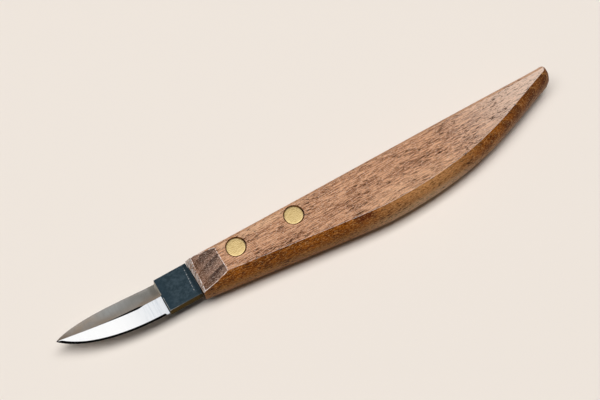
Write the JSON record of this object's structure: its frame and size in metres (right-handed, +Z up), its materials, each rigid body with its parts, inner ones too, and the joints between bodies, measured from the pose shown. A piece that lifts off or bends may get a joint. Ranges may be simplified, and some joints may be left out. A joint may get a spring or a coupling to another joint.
{
  "type": "carving knife",
  "caption": "Fixed-blade wood-carving knife: short ground steel blade with an upswept edge and square dark ricasso, in a flat-sided swelling wooden handle held by brass rivets.",
  "frame": {"origin": "centre of the bounding box in X and Y, on the surface that the knife lies on", "axes": "+X along the knife to the butt, with the point at -X; +Y to the spine, with the edge at -Y; +Z up through the handle's thickness"},
  "size_m": [0.1864, 0.0216, 0.0128],
  "materials": {
    "steel": "ground bevels, with a black oxide ricasso",
    "wood": "oiled satin",
    "brass": "finely brushed"
  },
  "bodies": {
    "root": {"blade": "steel", "handle": "wood", "front_rivet_female": "brass", "front_rivet_male": "brass", "rear_rivet_female": "brass", "rear_rivet_male": "brass"}
  },
  "joints": []
}
